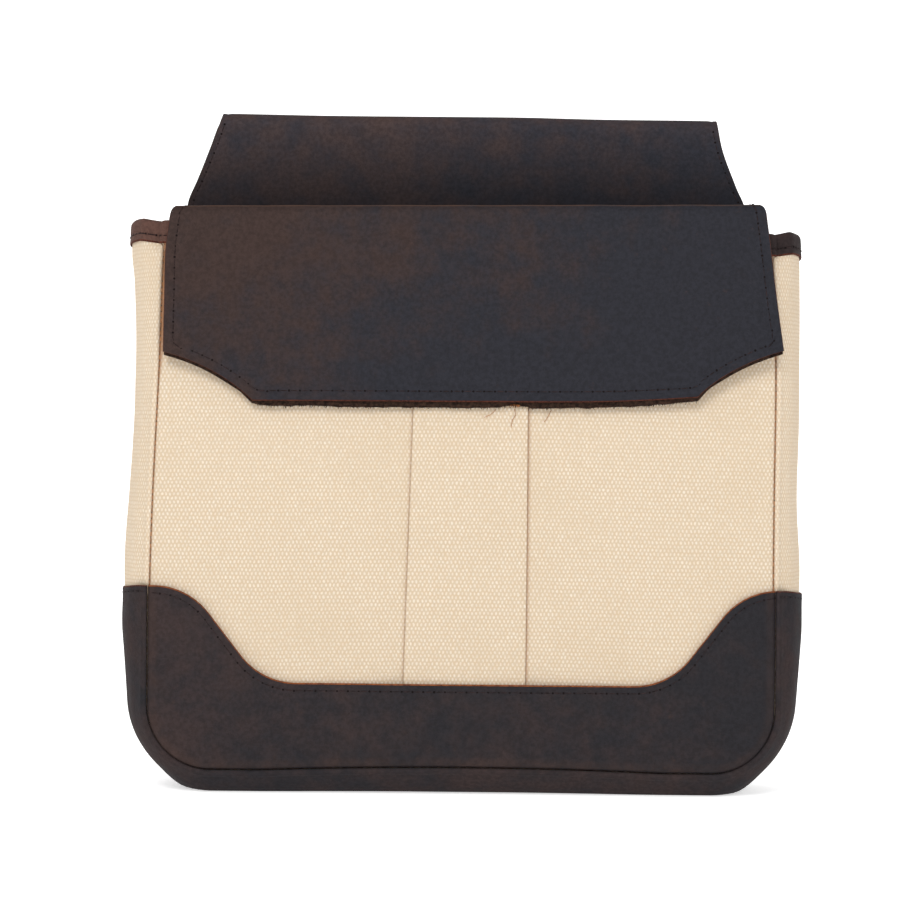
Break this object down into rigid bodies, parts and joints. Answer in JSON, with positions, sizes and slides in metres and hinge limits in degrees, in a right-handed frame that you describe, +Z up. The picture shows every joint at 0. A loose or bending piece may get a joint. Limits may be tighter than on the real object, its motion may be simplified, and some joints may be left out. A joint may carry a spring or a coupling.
{
  "type": "hunting bag",
  "caption": "Upright canvas hunting bag with a box-pleated front, dark leather base and bound mouth, scooped leather flap over the opening and a folded leather belt loop behind",
  "frame": {"origin": "middle of the footprint's box, on the surface that the bag stands on", "axes": "+X to the viewer's right, +Y from the front to the back, +Z up"},
  "size_m": [0.2792, 0.097, 0.2782],
  "materials": {
    "canvas": "heavy plain-woven cream cotton duck",
    "leather": "dark brown oiled pull-up leather, dull sheen",
    "suede": "brown suede, raw and matt"
  },
  "bodies": {
    "root": {"front_panel": "canvas", "base_patch": "leather", "back_panel": "canvas", "gusset": "canvas", "gusset_guard": "leather", "mouth_binding": "leather", "flap": "leather", "flap_lining": "suede", "belt_loop": "leather"}
  },
  "joints": []
}
